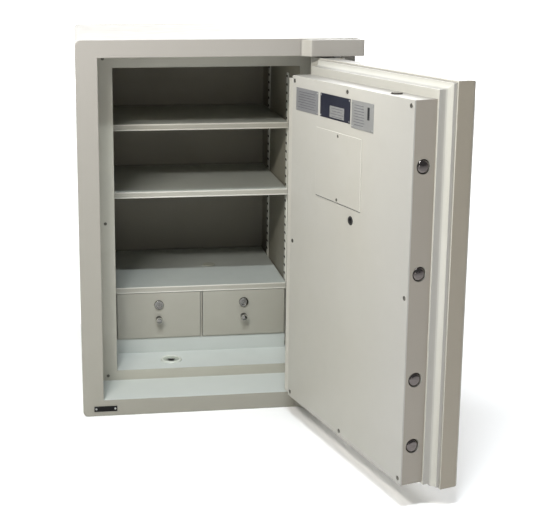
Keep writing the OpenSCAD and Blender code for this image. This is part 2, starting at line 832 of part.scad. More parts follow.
// Carriage of the latch bolts, with the arm that the cam drives and the lock blocks
module bolt_bar() {
    drive_x = handle_x - slot_r0;
    tail_z1 = lock_case_z - 4;
    color("silver") on_door() {
        box([bar_x, bolt_y - bar_w / 2, bolt_z[0] - bar_end],
            [bar_x + bar_t, bolt_y + bar_w / 2, bolt_z[3] + bar_end]);
        box([bar_x + bar_t, arm_y, handle_z - arm_h / 2],
            [keypad_x + arm_reach, arm_y + arm_t, handle_z + arm_h / 2]);
        rod_y(drive_x, handle_z, disc_y - 1, arm_y, drive_pin_r);
        difference() {
            box([keypad_x - tail_in, arm_y, handle_z + arm_h / 2],
                [keypad_x + arm_reach, arm_y + arm_t, tail_z1]);
            for (x = [keypad_x, keypad_x + throw])
                box([x - notch_w / 2, arm_y - 1, tail_z1 - notch_h],
                    [x + notch_w / 2, arm_y + arm_t + 1, tail_z1 + 1]);
        }
    }
}

module latch_bolts() {
    color("silver") on_door() for (z = bolt_z) {
        rod_x_dir(bolt_y, z, case_x0 - bolt_proud + 2, bar_x, bolt_r);
        translate([case_x0 - bolt_proud, bolt_y, z]) rotate([0, 90, 0])
            cylinder(h = 2, r1 = bolt_r - 2, r2 = bolt_r);
    }
}

// Round bolt on a flat rod, whose arm carries the cam's pin
module top_bolt() {
    end_z = case_z1 + bolt_proud;
    neck = end_z - rod_bolt_l;
    drive_z = handle_z + slot_r0;
    arm_z = drive_z - rod_arm_h / 2;
    color("silver") on_door() {
        rod_z(rod_x, bolt_y, neck, end_z, rod_bolt_r);
        box([rod_x - rod_w / 2, rod_y, neck], [rod_x + rod_w / 2, bolt_y, neck + rod_lap]);
        box([rod_x - rod_w / 2, rod_y, arm_z], [rod_x + rod_w / 2, rod_y + rod_t, neck + 1]);
        box([rod_x, rod_y, arm_z], [handle_x + 8, rod_y + rod_t, arm_z + rod_arm_h]);
        rod_y(handle_x, drive_z, rod_y + rod_t, disc_y + disc_t + 1, drive_pin_r);
    }
}

module key_cylinder() {
    color("silver") on_door() difference() {
        union() {
            rod_y(key_x, keypad_z, front_y - 5, key_y1, key_cyl_r);
            rod_y(key_x, keypad_z, front_y - 5, front_y - 0.5, key_cyl_r + 5);
        }
        box([key_x - 1.2, front_y - 6, keypad_z - 6], [key_x + 1.2, front_y + 8, keypad_z + 6]);
    }
}

// Side faces of a drawer's front: s is -1 for the left one, 1 for the right one
function drawer_x(s) = s > 0 ? [drawer_x0, drawer_x1] : [-drawer_x1, -drawer_x0];
function drawer_mid(s) = (drawer_x(s)[0] + drawer_x(s)[1]) / 2;

module drawer(s) {
    x = drawer_x(s);
    xm = drawer_mid(s);
    tx = [x[0] + tray_x_gap, x[1] - tray_x_gap];
    y0 = shelf_y0 + drawer_front_t;
    z0 = unit_floor + unit_t + rail_h + 0.5;
    color("beige") inside() difference() {
        union() {
            box([x[0], shelf_y0, drawer_z0], [x[1], y0, drawer_z1]);
            box([tx[0], y0, z0], [tx[1], tray_y1, z0 + tray_h]);
            rod_y(xm, pull_z, shelf_y0 - 16, shelf_y0, pull_r * 0.55);
            rod_y(xm, pull_z, shelf_y0 - 20, shelf_y0 - 10, pull_r);
        }
        box([tx[0] + tray_t, y0 + tray_t, z0 + tray_t],
            [tx[1] - tray_t, tray_y1 - tray_t, z0 + tray_h + 1]);
        rod_y(xm, lock_z, shelf_y0 - 1, y0 + tray_t + 1, drawer_lock_r + 0.05);
    }
}

module drawer_lock(s) {
    xm = drawer_mid(s);
    color("silver") inside() difference() {
        union() {
            rod_y(xm, lock_z, shelf_y0 - 4, shelf_y0 + drawer_front_t + 7, drawer_lock_r);
            rod_y(xm, lock_z, shelf_y0 - 5, shelf_y0 - 0.3, drawer_lock_r + 3);
            box([xm - 6, shelf_y0 + drawer_front_t + 7, lock_z - 5],
                [xm + drawer_cam_l, shelf_y0 + drawer_front_t + 10, lock_z + 5]);
        }
        box([xm - 1, shelf_y0 - 6, lock_z - 5], [xm + 1, shelf_y0 + drawer_front_t, lock_z + 5]);
    }
}

module left_drawer() {
    drawer(-1);
}

module right_drawer() {
    drawer(1);
}

module left_drawer_lock() {
    drawer_lock(-1);
}

module right_drawer_lock() {
    drawer_lock(1);
}

outer_shell();
rear_panel();
front_frame();
lip_frame();
lip_screws();
insulation_core();
inner_liner();
liner_floor();
shelf_tracks();
upper_shelf();
middle_shelf();
lower_shelf();
shelf_clips();
shelf_plug();
drawer_housing();
anchor_sleeve();
anchor_grommet();
nameplate();
top_hinge_block();
bottom_hinge_block();
hinge_bushes();
bolt_sockets();
door_slab();
door_insulation();
door_step();
bolt_case();
inner_cover();
cover_screws();
access_panel();
inner_labels();
cable_grommet();
hinge_pins();
bolt_guides();
dead_bar();
lock_case();
keypad_housing();
handle_rose();
handle_lever();
cam_spindle();
bolt_bar();
latch_bolts();
top_bolt();
lock_bolt();
key_cylinder();
left_drawer();
right_drawer();
left_drawer_lock();
right_drawer_lock();
for (i = [0 : 11]) keypad_key(i);
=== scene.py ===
import math

import bmesh
import bpy
from mathutils import Matrix, Vector


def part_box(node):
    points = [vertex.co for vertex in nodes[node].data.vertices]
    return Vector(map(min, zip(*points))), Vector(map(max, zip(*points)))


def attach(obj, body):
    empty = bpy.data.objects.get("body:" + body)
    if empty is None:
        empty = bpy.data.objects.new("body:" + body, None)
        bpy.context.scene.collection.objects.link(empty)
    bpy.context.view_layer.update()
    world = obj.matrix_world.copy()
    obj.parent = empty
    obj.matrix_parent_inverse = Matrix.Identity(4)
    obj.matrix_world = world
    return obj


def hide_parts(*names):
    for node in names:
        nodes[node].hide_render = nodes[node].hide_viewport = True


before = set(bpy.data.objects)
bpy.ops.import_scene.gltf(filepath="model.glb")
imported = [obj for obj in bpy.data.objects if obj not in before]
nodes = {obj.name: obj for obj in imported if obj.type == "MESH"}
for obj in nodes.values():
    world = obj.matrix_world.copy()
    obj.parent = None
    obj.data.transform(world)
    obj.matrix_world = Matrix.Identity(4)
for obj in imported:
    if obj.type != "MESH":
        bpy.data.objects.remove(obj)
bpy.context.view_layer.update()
print("frame loaded:", len(nodes), "nodes")

# The door's pieces are laid out shut, then turned about the pins to where the open door stands
hinge = {"pinX": 0.284, "pinY": -0.377, "openAngle": 105.0}
pinPlace = Vector((hinge["pinX"], hinge["pinY"], 0))
doorTurn = (Matrix.Translation(pinPlace) @ Matrix.Rotation(math.radians(hinge["openAngle"]), 4, "Z")
            @ Matrix.Translation(-pinPlace))
frontY = -0.375  # outer face of the shut door
coverY = -0.246  # face of its inner cover
caseX0, caseX1 = -0.272, 0.258  # latch side and hinge side of its bolt case
caseZ0, caseZ1 = 0.060, 0.868
forward, up = (0.0, -1.0, 0.0), (0.0, 0.0, 1.0)
latchWay, outerWay, coverWay = [tuple(doorTurn.to_3x3() @ Vector(way)) for way in ((-1, 0, 0), forward, (0, 1, 0))]


def srgb(r, g, b):
    # 8-bit display values to linear
    return tuple((v / 255 / 12.92) if v <= 10 else ((v / 255 + 0.055) / 1.055) ** 2.4 for v in (r, g, b)) + (1.0,)


def addObject(name, data):
    made = bpy.data.objects.new(name, data)
    bpy.context.scene.collection.objects.link(made)
    return made


# Camera
cameraValues = {"place": (-0.3557, -2.975, 1.1250), "yaw": 6.94, "pitch": 11.34, "lens": 70.42, "sensor": 36,
                "shift": (0.13, -0.14), "clip": (0.05, 60)}
cameraData = bpy.data.cameras.new("camera")
cameraData.lens = cameraValues["lens"]
cameraData.sensor_width = cameraValues["sensor"]
cameraData.shift_x, cameraData.shift_y = cameraValues["shift"]
cameraData.clip_start, cameraData.clip_end = cameraValues["clip"]
camera = addObject("camera", cameraData)
camera.location = cameraValues["place"]
camera.rotation_euler = (math.radians(90 - cameraValues["pitch"]), 0, math.radians(-cameraValues["yaw"]))
bpy.context.scene.camera = camera

# Studio
studio = {"sky": (0.94, 0.97, 1.0, 1.0), "skyStrength": 0.23, "aim": (0.05, -0.2, 0.5),
          "lamps": [  # place, width, height, power, colour
              # key in front, flat enough to draw the shelves' shadow lines
              ((-0.75, -1.60, 1.66), 0.5, 0.05, 23.0, (1.0, 0.97, 0.92)),
              # high, cool light on the sill and shelf fronts
              ((-0.40, -2.28, 3.53), 0.8, 0.08, 79.0, (0.90, 0.96, 1.0)),
              # low fill into the compartments, fill on the door's inner side
              ((-0.30, -4.60, 0.78), 1.0, 1.0, 10.0, (1.0, 0.98, 0.95)),
              ((-3.6, -1.6, 1.9), 1.4, 1.4, 10.0, (1.0, 0.98, 0.95)),
              # light on the back and the tops
              ((1.8, 3.2, 2.8), 2.0, 2.0, 60.0, (1.0, 1.0, 1.0))]}
world = bpy.data.worlds.new("studio")
world.use_nodes = True
world.node_tree.nodes["Background"].inputs["Color"].default_value = studio["sky"]
world.node_tree.nodes["Background"].inputs["Strength"].default_value = studio["skyStrength"]
bpy.context.scene.world = world
for i, (place, width, height, power, color) in enumerate(studio["lamps"]):
    lampData = bpy.data.lights.new(f"softbox{i}", "AREA")
    lampData.shape = "RECTANGLE"
    lampData.size, lampData.size_y = width, height
    lampData.energy = power
    lampData.color = color
    lamp = addObject(f"softbox{i}", lampData)
    lamp.location = place
    lamp.rotation_euler = (Vector(studio["aim"]) - Vector(place)).to_track_quat("-Z", "Y").to_euler()
bpy.context.scene.view_settings.view_transform = "Standard"
print("camera and studio ready")


# Materials

def addNode(tree, kind, inputs=None, output=0, **settings):
    # Inputs are values or other nodes' outputs; gives one output of the new node
    node = tree.nodes.new(kind)
    for key, value in settings.items():
        setattr(node, key, value)
    for key, value in (inputs or {}).items():
        if isinstance(value, bpy.types.NodeSocket):
            tree.links.new(value, node.inputs[key])
        else:
            node.inputs[key].default_value = value
    return node.outputs[output]


def newMaterial(name):
    material = bpy.data.materials.new(name)
    material.use_nodes = True
    tree = material.node_tree
    tree.nodes.clear()
    shader = tree.nodes.new("ShaderNodeBsdfPrincipled")
    target = tree.nodes.new("ShaderNodeOutputMaterial")
    tree.links.new(shader.outputs["BSDF"], target.inputs["Surface"])
    return material, tree, shader


def noiseOf(tree, place, scale, detail=3.0, roughness=0.55):
    inputs = {"Vector": place, "Scale": scale, "Detail": detail, "Roughness": roughness}
    return addNode(tree, "ShaderNodeTexNoise", inputs, "Fac")


def mixColors(tree, factor, colorA, colorB):
    return addNode(tree, "ShaderNodeMix", {"Factor": factor, 6: colorA, 7: colorB}, 2, data_type="RGBA")


def ranged(tree, value, low, high, toLow=0.0, toHigh=1.0):
    inputs = {"Value": value, "From Min": low, "From Max": high, "To Min": toLow, "To Max": toHigh}
    return addNode(tree, "ShaderNodeMapRange", inputs, "Result", clamp=True)


def along(tree, vector, way):
    return addNode(tree, "ShaderNodeVectorMath", {0: vector, 1: way}, "Value", operation="DOT_PRODUCT")


def coatSurface(tree, shader, color, roughPattern, bevel, grainPattern, values):
    # What every finish ends with: colour, uneven gloss, and grain over the rounded edges
    low, high = (values["roughness"] + spread for spread in values["roughSpread"])
    tree.links.new(color, shader.inputs["Base Color"])
    tree.links.new(ranged(tree, roughPattern, *values["roughSpan"], low, high), shader.inputs["Roughness"])
    bump = {"Strength": values["grain"], "Distance": values["grainDepth"], "Height": grainPattern, "Normal": bevel}
    tree.links.new(addNode(tree, "ShaderNodeBump", bump), shader.inputs["Normal"])
    shader.inputs["Specular IOR Level"].default_value = values["gloss"]


def enamel(name, values):
    # Sprayed enamel: soft cloudy tone, orange-peel grain, faint smudges, paler rounded edges (worn, and on the shelves
    # mostly painted highlight), and painted light and shade by facing and place
    material, tree, shader = newMaterial(name)
    coordinates = tree.nodes.new("ShaderNodeTexCoord").outputs
    place, facing = coordinates["Object"], coordinates["Normal"]
    mainTone, cloudTone, smudgeTone, edgeTone = [srgb(*tone) for tone in values["tones"]]
    cloud = ranged(tree, noiseOf(tree, place, *values["cloudNoise"]), *values["cloudSpan"])
    color = mixColors(tree, cloud, mainTone, cloudTone)
    smudge = noiseOf(tree, place, *values["smudgeNoise"])
    color = mixColors(tree, ranged(tree, smudge, *values["smudgeSpan"], 0.0, values["smudge"]), color, smudgeTone)
    bevel = addNode(tree, "ShaderNodeBevel", {"Radius": values["edge"]}, "Normal", samples=6)
    edge = along(tree, bevel, addNode(tree, "ShaderNodeNewGeometry", None, "Normal"))
    color = mixColors(tree, ranged(tree, edge, *values["edgeSpan"], 0.0, values["edgeWear"]), color, edgeTone)
    for way, amount, tone in values.get("facings", ()):  # faces painted darker as shade by the way they face
        toward = ranged(tree, along(tree, facing, way), *values["facingSpan"], 0.0, amount)
        color = mixColors(tree, toward, color, srgb(*tone))
    for way, start, end, amount, tone in values.get("fades", ()):  # painted shade, darker towards the floor or the latch edge, and painted light on the drawer housing's foot
        color = mixColors(tree, ranged(tree, along(tree, place, way), start, end, 0.0, amount), color, srgb(*tone))
    if "levelTone" in values:  # lower faces that look up, painted paler as the light falling on them
        level = {0: ranged(tree, along(tree, facing, up), *values["facingSpan"]),
                 1: ranged(tree, along(tree, place, up), *values["litLevelSpan"])}
        color = mixColors(tree, addNode(tree, "ShaderNodeMath", level, operation="MULTIPLY"), color,
                          srgb(*values["levelTone"]))
    coatSurface(tree, shader, color, noiseOf(tree, place, *values["roughNoise"]), bevel,
                noiseOf(tree, place, *values["grainNoise"]), values)
    return material


def metal(name, values):
    # Plated or brushed metal: fine lines along one axis, faint spots and rounded edges
    material, tree, shader = newMaterial(name)
    place = tree.nodes.new("ShaderNodeTexCoord").outputs["Object"]
    mainTone, streakTone, spotTone = [srgb(*tone) for tone in values["tones"]]
    stretched = addNode(tree, "ShaderNodeMapping", {"Vector": place, "Scale": values["lines"]})
    streak = noiseOf(tree, stretched, *values["streakNoise"])
    color = mixColors(tree, ranged(tree, streak, *values["streakSpan"]), mainTone, streakTone)
    spots = ranged(tree, noiseOf(tree, place, *values["spotNoise"]), *values["spotSpan"], 0.0, values["spots"])
    color = mixColors(tree, spots, color, spotTone)
    shader.inputs["Metallic"].default_value = 1.0
    bevel = addNode(tree, "ShaderNodeBevel", {"Radius": values["edge"]}, "Normal", samples=4)
    coatSurface(tree, shader, color, streak, bevel, streak, values)
    return material


def plastic(name, values):
    # Moulded plastic with a spark-eroded grain
    material, tree, shader = newMaterial(name)
    place = tree.nodes.new("ShaderNodeTexCoord").outputs["Object"]
    mainTone, otherTone = [srgb(*tone) for tone in values["tones"]]
    patch = ranged(tree, noiseOf(tree, place, *values["patchNoise"]), *values["patchSpan"])
    bevel = addNode(tree, "ShaderNodeBevel", {"Radius": values["edge"]}, "Normal", samples=4)
    coatSurface(tree, shader, mixColors(tree, patch, mainTone, otherTone), noiseOf(tree, place, *values["roughNoise"]),
                bevel, noiseOf(tree, place, *values["grainNoise"]), values)
    return material


# Noises are scale, detail and roughness; spans say where a pattern starts and where it is full
enamelBase = {"cloudNoise": (2.6, 4.0), "cloudSpan": (0.35, 0.65),
              "smudgeNoise": (9.0, 6.0, 0.7), "smudgeSpan": (0.56, 0.80), "smudge": 0.16,
              "edge": 0.0022, "edgeSpan": (0.995, 0.90), "edgeWear": 0.30,
              "facingSpan": (0.86, 0.97), "litLevelSpan": (0.90, 0.80),
              "roughNoise": (18.0, 4.0), "roughSpan": (0.3, 0.7), "roughSpread": (-0.05, 0.07), "roughness": 0.42,
              "grainNoise": (420.0, 2.0), "grain": 0.16, "grainDepth": 0.0004, "gloss": 0.45}
metalBase = {"lines": (60.0, 60.0, 900.0), "streakNoise": (1.0, 3.0), "streakSpan": (0.3, 0.7),
             "spotNoise": (90.0, 5.0, 0.7), "spotSpan": (0.58, 0.78), "spots": 0.10, "edge": 0.0008,
             "roughSpan": (0.25, 0.75), "roughSpread": (-0.04, 0.08), "grain": 0.08, "grainDepth": 0.0002, "gloss": 0.5}
plasticBase = {"patchNoise": (14.0, 4.0), "patchSpan": (0.35, 0.65), "edge": 0.0008,
               "roughNoise": (60.0, 3.0), "roughSpan": (0.3, 0.7), "roughSpread": (-0.05, 0.08), "roughness": 0.36,
               "grainNoise": (900.0, 2.0), "grain": 0.25, "grainDepth": 0.0002, "gloss": 0.5}

# painted shade on faces that look forward
frontShade = (142, 138, 132)
# painted shade on faces that look up
topShade = (up, 0.9, (146, 143, 137))
doorTones = ((184, 181, 172), (179, 176, 166), (170, 164, 150), (211, 207, 197))
# the shelves' strong pale edges are partly wear and mostly painted highlight along their lips
shelfPaint = {"tones": ((164, 162, 152), (157, 155, 144), (148, 145, 131), (214, 213, 205)),
              "edge": 0.0024, "edgeWear": 0.75, "grain": 0.10}
enamels = {  # tones of the coat, its clouds, its smudges and its edges
    # body coat given darker than the door's same paint as painted shade; front faces darker still, darker towards the
    # floor, and upward faces paler as painted light
    "bodyEnamel": {"tones": ((170, 166, 158), (165, 161, 152), (150, 146, 136), (186, 182, 173)),
                   "facings": [(forward, 0.92, frontShade)], "fades": [(up, 0.90, 0.02, 0.85, (138, 136, 125))],
                   "levelTone": (196, 201, 197)},
    # door, step and case: latch side, outer face and top painted darker as shade
    "doorEnamel": {"tones": doorTones, "edge": 0.0028,
                   "facings": [(latchWay, 0.95, (139, 131, 117)), (outerWay, 0.80, frontShade), topShade]},
    "stepEnamel": {"tones": ((184, 182, 174), (179, 177, 168), (170, 165, 152), (211, 208, 199)), "edge": 0.0020,
                   "facings": [(latchWay, 0.9, (155, 152, 146)), topShade]},
    "caseEnamel": {"tones": doorTones, "edge": 0.0016, "facings": [(latchWay, 0.95, (139, 132, 122)), topShade]},
    # cover painted darker towards the bottom and towards the latch edge, as shade
    "coverEnamel": {"tones": ((180, 178, 171), (176, 173, 164), (162, 158, 147), (210, 206, 198)), "edge": 0.0012,
                    "cloudNoise": (3.4, 4.0), "roughness": 0.38,
                    "fades": [(up, 0.85, 0.02, 0.9, (161, 159, 150)), (latchWay, 0.78, 0.98, 1.0, (163, 161, 155))]},
    "lipEnamel": {"tones": ((174, 172, 161), (167, 165, 153), (142, 137, 122), (192, 188, 175)), "edge": 0.0012},
    # liner painted darker towards the bottom, as shade
    "linerEnamel": {"tones": ((160, 155, 141), (148, 144, 129), (120, 116, 103), (160, 157, 143)), "edge": 0.0010,
                    "roughness": 0.55, "grain": 0.30, "grainNoise": (240.0, 2.0),
                    "fades": [(up, 0.80, 0.30, 0.9, (126, 123, 111))]},
    # liner floor: the liner's paint made pale and cool as painted light
    "linerFloorEnamel": {"tones": ((201, 206, 203), (196, 201, 197), (176, 180, 170), (204, 208, 200)),
                         "edge": 0.0010, "grain": 0.10},
    "trackEnamel": {"tones": ((214, 214, 204), (206, 205, 194), (166, 162, 148), (214, 212, 202)),
                    "edge": 0.0008, "grain": 0.10},
    # shelves' upward faces painted pale as light, the lower shelf's less so as painted shade
    "shelfEnamel": dict(shelfPaint, levelTone=(183, 186, 179)),
    "lowerShelfEnamel": dict(shelfPaint, levelTone=(172, 176, 171)),
    # drawer housing's foot painted pale like the lit floor, as painted light
    "drawerEnamel": {"tones": ((159, 157, 147), (152, 150, 139), (144, 141, 128), (194, 193, 182)), "edge": 0.0010,
                     "grain": 0.10, "fades": [(up, 0.109, 0.108, 1.0, (185, 190, 186))]},
    # pale copy of the paint for painted highlights on the shelves' hems and the access panel's edges
    "hemEnamel": {"tones": ((206, 204, 196), (201, 199, 190), (176, 173, 160), (216, 215, 207)),
                  "edge": 0.0006, "grain": 0.10},
}
metals = {  # tones of the metal, its lines and its spots
    "boltChrome": {"tones": ((112, 106, 104), (94, 89, 87), (56, 52, 50)), "roughness": 0.10},
    "zincSteel": {"tones": ((186, 186, 183), (166, 167, 166), (120, 118, 112)), "roughness": 0.36},
    "darkSteel": {"tones": ((112, 110, 104), (96, 94, 88), (62, 60, 55)), "roughness": 0.32},
    "bushBrass": {"tones": ((196, 164, 96), (178, 145, 80), (112, 88, 46)), "roughness": 0.30},
    "satinChrome": {"tones": ((206, 206, 204), (190, 190, 189), (138, 137, 134)), "roughness": 0.24},
    "brightChrome": {"tones": ((132, 131, 128), (112, 111, 108), (62, 60, 56)), "roughness": 0.09,
                     "lines": (200.0, 200.0, 200.0)},
}
plastics = {  # two tones that run into each other
    "ivoryPlastic": {"tones": ((206, 210, 203), (200, 204, 196)), "roughness": 0.48},
    "wellPlastic": {"tones": ((168, 174, 164), (160, 166, 155)), "roughness": 0.60},
    "plugPlastic": {"tones": ((168, 169, 159), (160, 161, 150)), "roughness": 0.48},
    "blackPlastic": {"tones": ((26, 26, 26), (34, 33, 32)), "roughness": 0.5},
    "keypadPlastic": {"tones": ((46, 47, 50), (54, 55, 58)), "roughness": 0.46},
    "keyPlastic": {"tones": ((214, 214, 210), (206, 206, 201)), "roughness": 0.38, "grain": 0.10},
    "printBlack": {"tones": ((22, 23, 26), (28, 29, 32)), "roughness": 0.42, "grain": 0.05},
    "castFill": {"tones": ((186, 178, 160), (170, 162, 144)), "roughness": 0.9, "grain": 0.6,
                 "grainNoise": (160.0, 2.0)},
    "blackPlate": {"tones": ((14, 14, 14), (20, 20, 20)), "roughness": 0.34, "grain": 0.10, "gloss": 0.15},
    "greyPlate": {"tones": ((127, 127, 128), (119, 119, 120)), "grain": 0.06},
    "darkPlate": {"tones": ((28, 30, 42), (36, 38, 50)), "grain": 0.06},
    "palePlate": {"tones": ((134, 134, 132), (126, 126, 124)), "roughness": 0.40, "grain": 0.06},
    "slotShade": {"tones": ((34, 33, 28), (40, 39, 33)), "roughness": 0.8, "grain": 0.06},
    "lineGrey": {"tones": ((78, 80, 88), (72, 74, 82)), "roughness": 0.42, "grain": 0.06},
    "lampGreen": {"tones": ((70, 150, 84), (80, 160, 92)), "roughness": 0.22, "grain": 0.0},
    "lampRed": {"tones": ((164, 52, 44), (172, 60, 50)), "roughness": 0.22, "grain": 0.0},
}
paints = {}
for recipe, base, kinds in ((enamel, enamelBase, enamels), (metal, metalBase, metals),
                            (plastic, plasticBase, plastics)):
    for name, values in kinds.items():
        paints[name] = recipe(name, dict(base, **values))

nodeFinishes = {
    "bodyEnamel": ("outer_shell", "rear_panel", "front_frame", "top_hinge_block", "bottom_hinge_block"),
    "lipEnamel": ("lip_frame",), "linerEnamel": ("inner_liner",), "linerFloorEnamel": ("liner_floor",),
    "trackEnamel": ("shelf_tracks",), "shelfEnamel": ("upper_shelf", "middle_shelf"),
    "lowerShelfEnamel": ("lower_shelf",),
    "drawerEnamel": ("drawer_housing", "left_drawer", "right_drawer"), "doorEnamel": ("door_slab", "dead_bar"),
    "stepEnamel": ("door_step",), "caseEnamel": ("bolt_case",), "coverEnamel": ("inner_cover", "access_panel"),
    "castFill": ("insulation_core", "door_insulation"), "ivoryPlastic": ("anchor_grommet",),
    "plugPlastic": ("shelf_plug",), "blackPlate": ("nameplate",), "greyPlate": ("inner_labels",),
    "blackPlastic": ("cable_grommet", "lock_case"), "keypadPlastic": ("keypad_housing",),
    "zincSteel": ("lip_screws", "cover_screws", "shelf_clips", "anchor_sleeve", "bolt_sockets", "hinge_pins",
                  "cam_spindle", "bolt_bar", "lock_bolt"),
    "darkSteel": ("bolt_guides",), "bushBrass": ("hinge_bushes",), "boltChrome": ("latch_bolts", "top_bolt"),
    "satinChrome": ("handle_rose", "handle_lever", "key_cylinder"),
    "brightChrome": ("left_drawer_lock", "right_drawer_lock"),
}
paintOf = {node: paint for paint, names in nodeFinishes.items() for node in names}
for name, node in nodes.items():
    node.data.materials.clear()
    node.data.materials.append(paints[paintOf.get(name, "keyPlastic")])  # the rest are the keys
print("finishes given to", len(nodes), "nodes")


# Mesh helpers

def addPiece(name, mesh, body, replaced=()):
    piece = addObject(name, mesh)
    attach(piece, body)
    if replaced:
        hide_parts(*replaced)


def makePiece(name, bm, finish, body, replaced=(), matrix=None, sharpAngle=35.0, mergeDistance=0.00001):
    # Finish is the name of a paint, or a list of them by material index
    bmesh.ops.remove_doubles(bm, verts=bm.verts, dist=mergeDistance)
    bmesh.ops.recalc_face_normals(bm, faces=bm.faces)
    if matrix is not None:
        bm.transform(matrix)
    mesh = bpy.data.meshes.new(name)
    bm.to_mesh(mesh)
    bm.free()
    for paint in finish if isinstance(finish, list) else [finish]:
        mesh.materials.append(paints[paint])
    mesh.shade_smooth()
    mesh.set_sharp_from_angle(angle=math.radians(sharpAngle))
    addPiece(name, mesh, body, replaced)


def addBlock(bm, low, high, bevel=0.0, segments=2, materialIndex=0):
    # A block between two corners with its edges rounded
    made = bmesh.ops.create_cube(bm, size=1.0)["verts"]
    low, high = Vector(low), Vector(high)
    bmesh.ops.scale(bm, vec=high - low, verts=made)
    bmesh.ops.translate(bm, vec=(low + high) / 2, verts=made)
    if bevel:
        edges = list({e for v in made for e in v.link_edges})
        rounded = bmesh.ops.bevel(bm, geom=edges, offset=bevel, segments=segments, profile=0.5, affect="EDGES")
        made = [v for f in rounded["faces"] for v in f.verts]
    for face in {f for v in made for f in v.link_faces}:
        face.material_index = materialIndex


def addLathe(bm, profile, center, axis, segments=48, materialIndex=0):
    # Turns (radius, height) points about an axis through the centre
    turn = Vector((0, 0, 1)).rotation_difference(Vector(axis)).to_matrix().to_4x4()
    place = Matrix.Translation(Vector(center)) @ turn
    angles = [2 * math.pi * i / segments for i in range(segments)]
    rings = []
    for radius, height in profile:
        points = [(radius * math.cos(a), radius * math.sin(a), height) for a in angles] if radius else [(0, 0, height)]
        rings.append([bm.verts.new(place @ Vector(point)) for point in points])
    for one, two in zip(rings, rings[1:]):
        for i in range(segments):
            j = (i + 1) % segments
            corners = [one[i % len(one)], one[j % len(one)], two[j % len(two)], two[i % len(two)]]
            unique = list(dict.fromkeys(corners))
            if len(unique) > 2:
                bm.faces.new(unique).material_index = materialIndex


def roundOver(radius, x, z, fromAngle, toAngle, steps=5):
    return [(x + radius * math.cos(a), z + radius * math.sin(a))
            for a in (math.radians(fromAngle + (toAngle - fromAngle) * i / steps) for i in range(steps + 1))]


# Geometry Nodes

def newTree(name, inputs, output):
    # Gives the identifiers too, by which a modifier sets the inputs
    tree = bpy.data.node_groups.new(name, "GeometryNodeTree")
    sockets = {key: tree.interface.new_socket(name=key, in_out="INPUT", socket_type="NodeSocket" + kind).identifier
               for key, kind in inputs.items()}
    tree.interface.new_socket(name=output, in_out="OUTPUT", socket_type="NodeSocketGeometry")
    return tree, sockets, tree.nodes.new("NodeGroupInput").outputs


def endTree(tree, instances, given):
    real = addNode(tree, "GeometryNodeRealizeInstances", {"Geometry": instances})
    finished = addNode(tree, "GeometryNodeSetMaterial", {"Geometry": real, "Material": given["Finish"]})
    tree.links.new(finished, tree.nodes.new("NodeGroupOutput").inputs[0])


def vectorOf(tree, **axes):
    return addNode(tree, "ShaderNodeCombineXYZ", axes)


def plainMesh(name, holder, matrix=None):
    bpy.context.view_layer.update()
    mesh = bpy.data.meshes.new_from_object(holder.evaluated_get(bpy.context.evaluated_depsgraph_get()))
    bpy.data.objects.remove(holder)
    mesh.name = name
    if matrix is not None:
        mesh.transform(matrix)
    return mesh


def grown(name, points, tree, sockets, values, matrix=None):
    # Runs a tree on some points and gives the outcome as a plain mesh
    start = bpy.data.meshes.new(name + "Points")
    start.from_pydata([tuple(p) for p in points], [], [])
    holder = addObject(name + "Points", start)
    modifier = holder.modifiers.new(tree.name, "NODES")
    modifier.node_group = tree
    for key, value in values.items():
        modifier[sockets[key]] = value
    return plainMesh(name, holder, matrix)


def fastenerTree():
    # Domed heads with a cross recess, each turned by chance
    tree, sockets, given = newTree("fasteners", {
        "Places": "Geometry", "Head radius": "Float", "Head height": "Float", "Recess width": "Float",
        "Recess depth": "Float", "Facing": "Vector", "Seed": "Int", "Finish": "Material"}, "Fasteners")
    radius, height = given["Head radius"], given["Head height"]
    width, depth = given["Recess width"], given["Recess depth"]
    ball = addNode(tree, "GeometryNodeMeshUVSphere", {"Segments": 28, "Rings": 14, "Radius": 1.0})
    flattened = vectorOf(tree, X=radius, Y=radius, Z=height)
    dome = addNode(tree, "GeometryNodeTransform", {"Geometry": ball, "Scale": flattened})
    recess = tree.nodes.new("GeometryNodeJoinGeometry")
    for size in (vectorOf(tree, X=radius, Y=width, Z=depth), vectorOf(tree, X=width, Y=radius, Z=depth)):
        bar = addNode(tree, "GeometryNodeMeshCube", {"Size": size})
        lifted = addNode(tree, "GeometryNodeTransform", {"Geometry": bar, "Translation": vectorOf(tree, Z=height)})
        tree.links.new(lifted, recess.inputs["Geometry"])
    head = addNode(tree, "GeometryNodeMeshBoolean", {"Mesh 1": dome, "Mesh 2": recess.outputs["Geometry"]},
                   operation="DIFFERENCE")
    facing = addNode(tree, "FunctionNodeEulerToRotation", {"Euler": given["Facing"]})
    spread = addNode(tree, "GeometryNodeInstanceOnPoints",
                     {"Points": given["Places"], "Instance": head, "Rotation": facing})
    chance = addNode(tree, "FunctionNodeRandomValue", {"Min": 0.0, "Max": 3.14159, "Seed": given["Seed"]}, 1,
                     data_type="FLOAT")
    spun = addNode(tree, "GeometryNodeRotateInstances", {"Instances": spread, "Rotation": vectorOf(tree, Z=chance)})
    endTree(tree, spun, given)
    return tree, sockets


